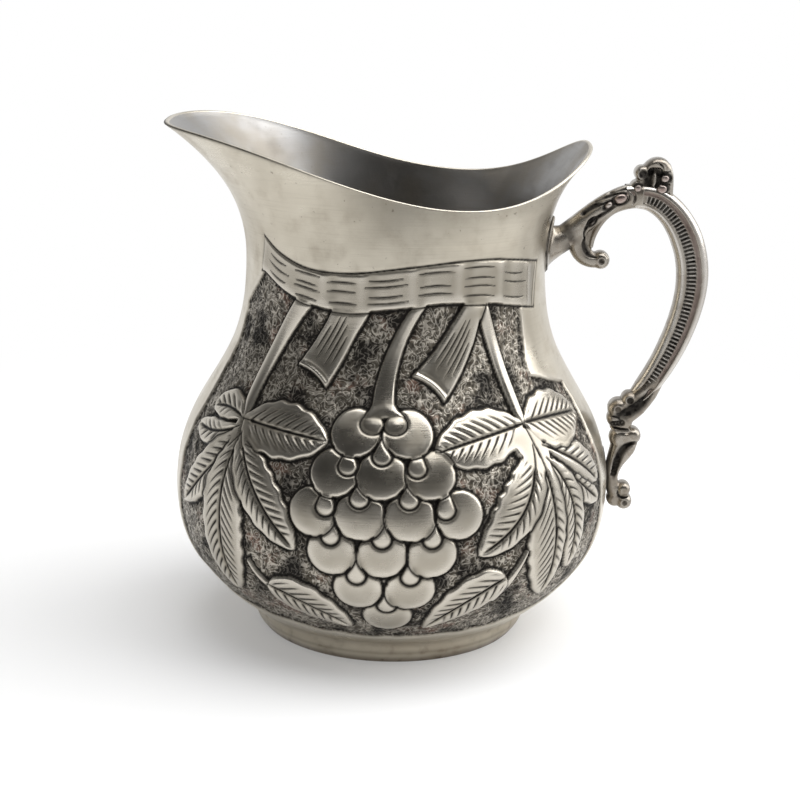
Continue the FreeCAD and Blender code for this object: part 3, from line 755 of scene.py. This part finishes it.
flange_radius, flange_top = 7.2, 0.98
flange = on_neck(flange_radius)
flange_section = [(flange_radius, -0.25), (7.25, 0.3), (flange_radius, 0.62), (7.0, 0.85), (6.7, flange_top)]
collar_rings = [(radius, flange + lift) for radius, lift in flange_section]
for radius, way in curve([(6.7, 1.15), (5.4, 2.0), (4.2, 3.4), (3.7, 6.4)], 26)[1:]:
    hug = ease((radius - 3.8) / 3.0)
    collar_rings.append((radius, hug * (flange + flange_top) + (1 - hug) * way))
collar_points = np.stack([collar_root + collar_axis * ways[:, None] + collar_side * radius
                          for radius, ways in collar_rings])
collar_dark = np.zeros(collar_points.shape[:2])
collar_dark[:4] = np.array([1.0, 0.95, 0.6, 0.15])[:, None]
collar_dark[-10:] = np.linspace(0, 0.85, 10)[:, None] * (0.55 + 0.45 * np.sin(2 * collar_turns[:, 0] + 0.6))
collar_worn = np.zeros_like(collar_dark)
collar_worn[4:9] = 0.5
handle_collar = grid_piece("handle_collar_cast", collar_points, {"dark": collar_dark, "worn": collar_worn},
                           "cast_plate", "handle_collar")


def cast_silver():
    finish, wires = start_finish("cast_silver")
    dark, worn, pink = (mark(wires, name) for name in ("dark", "worn", "pink"))
    warm = clouds(wires, 8.0).between(0.35, 0.7)
    stain = clouds(wires, 2.2, 4.0).between(0.45, 0.75)
    shade = warm.tint((0.34, 0.314, 0.275), (0.25, 0.221, 0.184))
    shade = (stain * 0.5).tint(shade, (0.24, 0.19, 0.145))
    shade = (pink * 0.85).limited().tint(shade, (0.31, 0.225, 0.2))
    shade = (worn * 0.7).limited().tint(shade, (0.72, 0.69, 0.65))
    shade = (dark * (0.9 + 0.35 * stain)).limited().tint(shade, (0.008, 0.0065, 0.0055))
    grit = clouds(wires, 0.4, 4.0, 0.7)
    rough = 0.2 + 0.1 * warm + 0.12 * stain + 0.3 * dark
    return plated(finish, wires, shade, 1 - 0.85 * dark, rough, (0.25, 0.12, grit + stain), 0.12)


cast_finish = cast_silver()
handle_collar.data.materials.append(cast_finish)

# Arm: a leaf-shaped branch cast solid in plated metal, which rises from the collar to the thumb rest
# and sends a short hook down. After casting it was chased with slanting cuts on its upper edge, and
# with lozenges and a sunk line below them.
def swept(points, widths, depths, around=30, power=2.7):
    """A closed bar along a cubic curve in the handle's plane, as points in mm and faces."""
    path = curve(points)
    share = np.linspace(0, 1, len(path))
    widths, depths = (np.interp(share, np.linspace(0, 1, len(sizes)), sizes)[:, None] / 2
                      for sizes in (widths, depths))
    ahead = np.gradient(path, axis=0)
    ahead /= np.hypot(*ahead.T)[:, None]
    turn = np.linspace(0, 2 * math.pi, around, endpoint=False)
    side = np.sign(np.cos(turn)) * abs(np.cos(turn)) ** (2 / power) * widths
    deep = np.sign(np.sin(turn)) * abs(np.sin(turn)) ** (2 / power) * depths
    skins = np.stack([path[:, :1] - ahead[:, 1:] * side, -deep, path[:, 1:] + ahead[:, :1] * side], -1)
    last = skins[..., 0].size - around
    ends = [list(range(around))[::-1], list(range(last, last + around))]
    return skins.reshape(-1, 3), grid_quads(len(path), around, True).tolist() + ends


def bead(x, height, radius, depth, power=3.0, rings=15, around=28):
    """A short roller with rounded faces that lies across the handle's plane."""
    lean = np.linspace(-math.pi / 2, math.pi / 2, rings + 2)[1:-1, None]
    across = np.sign(np.sin(lean)) * abs(np.sin(lean)) ** (2 / power) * depth / 2
    out = abs(np.cos(lean)) ** (2 / power) * radius
    turn = np.linspace(0, 2 * math.pi, around, endpoint=False)
    places = x + out * np.cos(turn), across, height + out * np.sin(turn)
    points = np.stack(np.broadcast_arrays(*places), -1).reshape(-1, 3)
    ends = [list(range(around)), list(range(len(points) - around, len(points)))[::-1]]
    return points, grid_quads(rings, around, True)[:, ::-1].tolist() + ends


class Casting:
    """Bars and beads of the handle run together into one skin, then cut with gravers, in mm."""

    def __init__(self, shapes, cell=0.2, rounds=4):
        points, faces = [], []
        for shape_points, shape_faces in shapes:
            faces += [[corner + len(points) for corner in face] for face in shape_faces]
            points += shape_points.tolist()
        rough = bpy.data.meshes.new("rough_casting")
        rough.from_pydata(points, [], faces)
        holder = bpy.data.objects.new("rough_casting", rough)
        bpy.context.scene.collection.objects.link(holder)
        joined = holder.modifiers.new("joined", "REMESH")
        joined.mode, joined.voxel_size = "VOXEL", cell
        joined_holder = holder.evaluated_get(bpy.context.evaluated_depsgraph_get())
        made = joined_holder.to_mesh()
        self.points = np.empty(len(made.vertices) * 3)
        made.vertices.foreach_get("co", self.points)
        self.points = self.points.reshape(-1, 3)
        self.quads = np.array([face.vertices[:] for face in made.polygons])
        self.edges = np.empty(len(made.edges) * 2, np.int64)
        made.edges.foreach_get("vertices", self.edges)
        self.edges = self.edges.reshape(-1, 2)
        joined_holder.to_mesh_clear()
        bpy.data.objects.remove(holder)
        bpy.data.meshes.remove(rough)
        self.dark, self.pink = np.zeros(len(self.points)), np.zeros(len(self.points))
        self.points = self.softened(self.points, rounds)

    def softened(self, values, rounds):
        """Values moved half way to the mean of their neighbours, some rounds."""
        first, second = self.edges.T
        total = len(values)
        count = np.bincount(self.edges.ravel(), minlength=total)
        values = values.reshape(total, -1)
        for _ in range(rounds):
            sums = np.column_stack([np.bincount(first, column[second], total)
                                    + np.bincount(second, column[first], total) for column in values.T])
            values = 0.5 * values + 0.5 * sums / count[:, None]
        return values

    def outward(self):
        corner = self.points[self.quads]
        facing = np.cross(corner[:, 2] - corner[:, 0], corner[:, 3] - corner[:, 1])
        sums = np.column_stack([sum(np.bincount(self.quads[:, k], column, len(self.points)) for k in range(4))
                                for column in facing.T])
        return sums / np.linalg.norm(sums, axis=1)[:, None]

    def side_faces(self):
        """1 on the two side faces, 0 on the edges between them."""
        return ease((abs(self.outward()[:, 1]) - 0.12) / 0.35)

    def press(self, amount, depth, dark):
        """Sinks both side faces where amount is 1."""
        amount = amount * self.side_faces()
        self.points = self.points - self.outward() * (depth * amount)[:, None]
        self.dark = np.maximum(self.dark, dark * np.clip(1.9 * amount, 0, 1))

    def cut(self, line, width, depth, dark=1.0, ends=(0.3, 0.3)):
        """A graver's stroke along a line of (x, height) points, narrower towards its ends."""
        way, left, length = along(through(line), self.points[:, 0], self.points[:, 2])
        share = np.clip(way / length, 0, 1)
        half = width / 2 * np.interp(share, [0, 0.3, 0.7, 1], [ends[0], 1, 1, ends[1]])
        self.press(ridge(left, half) * ridge(past_ends(way, length), width / 2), depth, dark)

    def dish(self, place, radius, depth, dark=1.0, soft=0.35):
        """A round hollow with a steep edge."""
        far = np.hypot(self.points[:, 0] - place[0], self.points[:, 2] - place[1])
        self.press(1 - ease((far / radius - 1 + soft) / soft), depth, dark)

    def swell(self, place, radii, slant, lift, pink=0.0):
        """A low lump on both side faces, with a dark line cut round it."""
        right, above = self.points[:, 0] - place[0], self.points[:, 2] - place[1]
        turned = math.radians(slant)
        u = (right * math.cos(turned) + above * math.sin(turned)) / radii[0]
        v = (above * math.cos(turned) - right * math.sin(turned)) / radii[1]
        far = np.hypot(u, v)
        self.pink = np.maximum(self.pink, pink * self.side_faces() * (1 - ease((far - 0.7) / 0.4)))
        self.press(ridge((far - 1.08) * min(radii), 0.34), 0.4, 1.0)
        self.press(np.clip(1 - far ** 2, 0, 1), -lift, 0.0)

    def fit(self, sunk):
        """Brings what would lie inside the body out to its face, and paints shade where it lies close to the
        body.
        """
        azimuth = np.arctan2(self.points[:, 1], self.points[:, 0])
        far = np.hypot(self.points[:, 0], self.points[:, 1])
        out = np.maximum(far, skin(azimuth, self.points[:, 2]) - sunk)
        self.points[:, :2] *= (out / far)[:, None]
        gap = out - skin(azimuth, self.points[:, 2])
        # Painted shade: darker where the casting comes close to the body's face.
        self.dark = np.maximum(self.dark, 0.7 * (1 - ease((gap + sunk) / 2.6)))

    def finished(self, name, node):
        """The casting as a piece, dark in its hollows and worn on its edges."""
        self.points = self.softened(self.points, 1)
        lift = ((self.points - self.softened(self.points, 12)) * self.outward()).sum(1)
        hollow = np.clip(-lift / 0.22, 0, 1)
        worn = np.clip(lift / 0.2 - 0.15, 0, 1) * (1 - self.dark)
        dark = np.clip(np.maximum(self.softened(self.dark, 1)[:, 0], 0.8 * hollow), 0, 1)
        marks = {"dark": dark, "worn": worn, "pink": self.pink}
        made = metal_piece(name, self.points, self.quads, marks, "cast_plate", node)
        made.data.materials.append(cast_finish)


arm = Casting([
    swept([(46.5, 116.6), (52.7, 119.1), (59.5, 130.6), (71.0, 130.4)],
          [7.0, 6.8, 6.4, 6.6, 7.4], [7.0, 7.2, 7.0, 7.0, 7.4]),
    swept([(53.0, 120.4), (51.9, 114.8), (54.4, 110.8), (59.4, 111.3)],
          [5.6, 5.8, 5.2, 4.4], [6.8, 6.4, 6.0, 6.0]),
    bead(59.7, 111.4, 2.7, 6.6),
    swept([(66.6, 127.6), (60.8, 126.2), (57.0, 121.0), (56.6, 115.2)],
          [1.6, 1.9, 1.9, 1.5], [5.8, 5.8, 5.8, 5.4]),
    swept([(57.4, 121.6), (55.8, 119.4), (55.2, 116.4), (56.2, 113.0)],
          [1.6, 2.6, 2.6, 2.0], [4.4, 4.4, 4.4, 4.6]),
])
for slanting in ([(53.6, 125.6), (56.4, 127.4), (59.8, 128.4)],
                 [(57.0, 129.4), (59.8, 130.6), (63.0, 131.2)],
                 [(61.4, 132.0), (64.4, 133.0), (68.0, 133.4)]):
    arm.cut(slanting, 1.5, 0.9, ends=(1.2, 0.2))
arm.cut([(62.6, 127.3), (58.4, 124.6), (54.8, 121.0), (54.6, 118.0)], 1.0, 0.6)
arm.cut([(54.6, 118.0), (54.6, 115.6), (55.6, 113.6), (57.6, 112.6)], 1.5, 0.7)
arm.cut([(66.2, 132.7), (68.4, 130.6), (67.8, 128.1)], 0.7, 0.4)
joint_x, joint_height = 50.4, 118.2
past_joint = (arm.points[:, 0] - joint_x) * math.cos(collar_tilt)
past_joint = past_joint + (arm.points[:, 2] - joint_height) * math.sin(collar_tilt)
at_joint = ridge(past_joint, 1.5) * ease((arm.points[:, 2] - 115.6) / 2.5)
arm.dark = np.maximum(arm.dark, 0.7 * at_joint)
arm.swell((64.3, 129.8), (2.1, 1.45), 20, 0.45, 1.0)
arm.swell((61.0, 127.9), (1.5, 0.9), 35, 0.35, 0.7)
arm.swell((56.5, 122.9), (1.2, 0.8), 50, 0.3, 0.4)
arm.dish((59.8, 111.4), 1.0, 0.35, 0.7)
arm.finished("handle_arm_cast", "handle_arm")

# Thumb rest: a crest of small leaves rolled into scrolls, cast in plated metal and joined to the arm's
# end. The roll nearest the mouth has a drilled eye, and deep cuts part the leaves.
crest = Casting([
    bead(73.4, 134.6, 3.6, 6.2), bead(70.4, 137.0, 2.3, 7.8), bead(76.6, 135.7, 2.3, 7.2),
    bead(76.1, 132.8, 2.4, 7.6), bead(69.3, 132.9, 2.2, 7.6), bead(74.6, 138.0, 2.0, 5.0),
    swept([(71.8, 138.2), (73.2, 140.6), (77.4, 140.8), (77.2, 137.2)],
          [2.6, 3.2, 3.4, 3.0], [6.4, 7.2, 7.2, 6.6]),
    swept([(77.6, 139.6), (79.2, 136.6), (78.4, 133.6), (79.0, 130.4)],
          [1.6, 1.8, 1.8, 1.4], [5.4, 6.0, 6.0, 5.4]),
])
crest.dish((70.4, 137.0), 1.6, 0.8)
crest.cut([(72.6, 137.4), (72.0, 135.6), (72.4, 133.2)], 2.4, 1.5, ends=(0.7, 0.8))
crest.cut([(73.4, 138.4), (74.6, 137.6), (75.0, 135.4), (74.2, 133.2)], 1.3, 0.9)
crest.cut([(75.2, 134.4), (76.6, 134.3), (78.0, 134.2)], 0.7, 0.5)
crest.cut([(75.0, 137.6), (76.4, 137.5), (78.0, 137.9)], 0.7, 0.45)
crest.cut([(74.4, 140.4), (75.6, 139.6), (76.2, 138.6)], 0.5, 0.4)
crest.swell((76.0, 132.9), (1.7, 1.5), 0, 0.2, 1.0)
crest.swell((76.7, 135.8), (1.6, 1.2), 10, 0.2, 0.9)
crest.swell((69.1, 132.9), (1.4, 1.2), 30, 0.2, 0.9)
crest.finished("thumb_crest_cast", "thumb_crest")

# Grip: a bowed strap of plated metal, cast with the volute at its lower end and joined to the arm at
# its upper one. Each side has a rounded inner rim, a channel filled with small bars, a plain cove and
# a round outer rim.
grip_line = np.vstack([
    curve([(66.0, 130.3), (68.0, 130.3), (70.0, 130.3), (71.0, 130.2)], 40)[:-1],
    curve([(71.0, 130.2), (79.0, 130.0), (86.9, 118.6), (86.9, 106.0)], 400)[:-1],
    curve([(86.9, 106.0), (86.9, 92.5), (77.6, 73.5), (69.5, 66.6)], 400),
])
bar_pitch, bar_width = 1.2, 0.26
grip_ways = np.append(0.0, np.hypot(*np.diff(grip_line, axis=0).T).cumsum())
grip_steps = np.linspace(0, grip_ways[-1], 440)
grip_path = np.column_stack([np.interp(grip_steps, grip_ways, axis) for axis in grip_line.T])
grip_ahead = np.gradient(grip_path, axis=0)
grip_ahead /= np.hypot(*grip_ahead.T)[:, None]
grip_share = (grip_steps / grip_ways[-1])[:, None]
grip_width = np.interp(grip_share, [0, 0.12, 0.3, 0.45, 0.7, 0.9, 1], [6.6, 8.0, 9.3, 9.3, 8.2, 6.8, 4.4])
grip_depth = np.interp(grip_share, [0, 0.15, 0.6, 0.88, 0.95, 1], [6.6, 7.0, 7.0, 6.4, 3.6, 3.0]) / 2
across = -np.cos(np.linspace(0, math.pi, 60))[None, :] / 2
face = np.clip(1 - abs(2 * across) ** 4.5, 0, 1) ** 0.4
channel = ease((across + 0.235) / 0.03) * (1 - ease((across - 0.06) / 0.03))
cove = np.clip(1 - ((across - 0.165) / 0.1) ** 2, 0, 1)
fillet = ridge(across + 0.262, 0.018)
bars = ridge(((grip_steps / bar_pitch + 0.5) % 1 - 0.5) * bar_pitch, bar_width)[:, None]
shown = ease((grip_share - 0.06) / 0.03) * (1 - ease((grip_share - 0.93) / 0.04))
cut_in = channel * (shown * (0.85 - 0.6 * bars * ease((across + 0.2) / 0.06)) + (1 - shown) * 0.1)
sunk = cut_in + cove * 0.5 * ease((grip_share - 0.05) / 0.06) + 0.22 * fillet * shown
half_depth = np.maximum(grip_depth * face - sunk * (face > 0.4), 0.0)
grip_x = grip_path[:, :1] - grip_ahead[:, 1:] * across * grip_width
grip_z = grip_path[:, 1:] + grip_ahead[:, :1] * across * grip_width


def both_faces(front, back):
    """Goes round the strap: over its front, then back over its other face."""
    return np.concatenate([front, back[:, -2:0:-1]], 1)


grip_values = {
    "dark": channel * shown * (1 - 0.85 * bars) + 0.4 * cove,
    "worn": ridge(across - 0.38, 0.08) + ridge(across + 0.38, 0.07) + 0.8 * channel * bars * shown,
    "pink": np.broadcast_to(0.7 * cove, half_depth.shape),
}
grip_marks = {name: both_faces(values, values) for name, values in grip_values.items()}
grip_points = both_faces(np.stack([grip_x, -half_depth, grip_z], -1),
                         np.stack([grip_x, half_depth, grip_z], -1))
grip_strap = grid_piece("handle_grip_strap", grip_points, grip_marks, "cast_plate", "handle_grip")
grip_strap.data.materials.append(cast_finish)

volute = Casting([
    swept([(79.0, 77.0), (75.6, 71.6), (72.2, 67.6), (68.4, 64.6)],
          [4.4, 6.8, 8.0, 7.6], [5.4, 6.8, 7.0, 6.8]),
    bead(67.4, 66.4, 3.3, 7.8), bead(70.4, 69.5, 2.4, 7.6),
    bead(68.8, 62.6, 3.0, 6.8), bead(66.6, 63.4, 2.6, 7.2),
    swept([(70.4, 61.0), (69.2, 60.0), (68.0, 59.6), (67.4, 58.8)],
          [6.0, 6.2, 6.0, 6.0], [6.4, 6.2, 6.2, 6.2]),
])
volute.dish((70.4, 69.6), 1.25, 0.7)
volute.dish((66.9, 66.9), 1.0, 0.35, 0.6)
volute.cut([(67.8, 65.3), (70.6, 66.4), (73.6, 68.6), (76.0, 71.8)], 3.0, 1.4, ends=(0.7, 0.5))
volute.cut([(65.0, 64.6), (66.6, 64.4), (68.2, 63.4)], 0.6, 0.4)
volute.cut([(65.4, 61.2), (68.6, 60.6), (72.4, 60.6)], 0.7, 0.5)
for pearl in range(4):
    volute.swell((65.6 + 0.9 * pearl, 62.3 + 0.15 * pearl), (0.45, 0.5), 0, 0.25)
volute.finished("handle_grip_volute", "handle_grip")

# Bracket: a small scroll cast in plated metal that stands the grip off the belly, hollowed on its
# sides, with a ball and a rolled end below. It is soldered to the belly and to the volute.
bracket = Casting([
    bead(71.9, 58.2, 2.6, 7.2), bead(68.6, 57.4, 3.6, 6.8),
    swept([(69.8, 59.0), (70.6, 53.6), (66.0, 50.6), (66.4, 44.4)],
          [8.0, 7.6, 5.2, 3.8], [7.0, 7.0, 6.4, 5.8]),
    swept([(66.4, 45.4), (66.2, 42.4), (67.8, 39.8), (69.8, 37.6)],
          [3.8, 4.2, 4.8, 4.4], [5.8, 5.8, 6.2, 6.6]),
    bead(70.1, 41.4, 2.2, 6.8), bead(70.4, 37.6, 2.5, 7.4), bead(67.6, 38.2, 2.4, 6.2),
])
bracket.fit(0.55)
bracket.cut([(72.2, 56.2), (69.4, 54.8), (67.8, 51.6), (67.0, 46.6)], 2.1, 1.1, ends=(0.5, 0.6))
for rung in range(5):
    bracket.swell((67.6 - 0.2 * rung, 51.0 - 1.1 * rung), (0.5, 0.35), 20, 0.2)
bracket.cut([(68.2, 41.2), (68.6, 39.8), (71.6, 39.5)], 0.7, 0.5)
bracket.cut([(68.6, 43.6), (70.2, 43.9), (71.6, 43.2)], 0.5, 0.35)
bracket.dish((70.5, 37.6), 0.9, 0.3, 0.7)
bracket.finished("lower_bracket_cast", "lower_bracket")

# Set: a sheet of pale paper for a floor, which keeps the jug's shadow and runs out to white. The room
# is white to the camera and dimmer in front to the metal. Two soft lamps hang on the right and above.
floor_mesh = bpy.data.meshes.new("floor")
floor_mesh.from_pydata([(-6, -6, 0), (6, -6, 0), (6, 6, 0), (-6, 6, 0)], [], [(0, 1, 2, 3)])
floor = bpy.data.objects.new("floor", floor_mesh)
bpy.context.scene.collection.objects.link(floor)
floor_finish, wires = start_finish("pale_floor")
far = wires.node("VectorMath", {"operation": "LENGTH"}, {0: place(wires)}, 1)
paper = wires.node("BsdfDiffuse", {}, {"Color": (0.9, 0.9, 0.9, 1)})
white = wires.node("Emission", {}, {"Color": (1, 1, 1, 1), "Strength": 1.0})
seen, glossy = (wires.node("LightPath", {}, {}, out) for out in (0, 3))
whiter = ((0.26 + 0.74 * far.between(0.1, 0.36)) * (seen + glossy)).limited()
surface = wires.node("MixShader", {}, {0: whiter, 1: paper, 2: white})
wires.node("OutputMaterial", {}, {"Surface": surface})
floor_mesh.materials.append(floor_finish)

world = bpy.data.worlds.new("studio")
bpy.context.scene.world = world
world.use_nodes = True
world.node_tree.nodes.clear()
wires = Wire(world.node_tree)
seen, glossy, through_glass = (wires.node("LightPath", {}, {}, out) for out in (0, 3, 6))
towards = wires.node("TexCoord", {}, {}, 0)
to_right, to_back, upward = (wires.node("SeparateXYZ", {}, {"Vector": towards}, out) for out in range(3))
sweep = to_back.between(-0.3, 0.8)
level_light = (0.27 + 0.6 * to_right.between(0.3, 1.0) + 0.5 * sweep).limited()
ceiling = upward.between(0.08, 0.55) * (1 - 0.55 * sweep)
room_shade = ceiling.tint(level_light.tint((0, 0, 0), (1, 1, 1)), (0.07, 0.07, 0.07))
room = wires.node("Background", {}, {"Color": room_shade, "Strength": 1.0})
backdrop = wires.node("Background", {}, {"Color": (1, 1, 1, 1), "Strength": 1.0})
behind = glossy * to_back.between(0.1, 0.9) * (1 - upward.between(0.2, 0.7))
lit = wires.node("MixShader", {}, {0: (seen + through_glass + behind).limited(), 1: room, 2: backdrop})
wires.node("OutputWorld", {}, {"Surface": lit})


def soft_lamp(name, place, target, size, power):
    lamp = bpy.data.lights.new(name, "AREA")
    lamp.shape, lamp.size, lamp.energy = "SQUARE", size, power
    made = bpy.data.objects.new(name, lamp)
    made.location = place
    made.rotation_euler = (Vector(target) - Vector(place)).to_track_quat("-Z", "Y").to_euler()
    bpy.context.scene.collection.objects.link(made)


soft_lamp("key_lamp", (1.15, 0.1, 1.0), (0, 0, 0.07), 1.8, 26)
soft_lamp("top_lamp", (0.2, -0.1, 1.7), (0, 0, 0.07), 1.8, 30)

camera = bpy.data.objects.new("camera", bpy.data.cameras.new("camera"))
camera.data.lens, camera.data.sensor_width = 78.06, 36.0
camera.data.clip_start = 0.01
pitch, roll = math.radians(15.598), math.radians(1.2)
level, steep = Vector((1, 0, 0)), Vector((0, math.sin(pitch), math.cos(pitch)))
back = Vector((0, -math.cos(pitch), math.sin(pitch)))
right = level * math.cos(roll) + steep * math.sin(roll)
above = steep * math.cos(roll) - level * math.sin(roll)
stand = Matrix.Translation((2.047 * mm, -500 * mm, 207 * mm))
camera.matrix_world = stand @ Matrix((right, above, back)).transposed().to_4x4()
bpy.context.scene.collection.objects.link(camera)
bpy.context.scene.camera = camera
bpy.context.scene.view_settings.view_transform = "Standard"
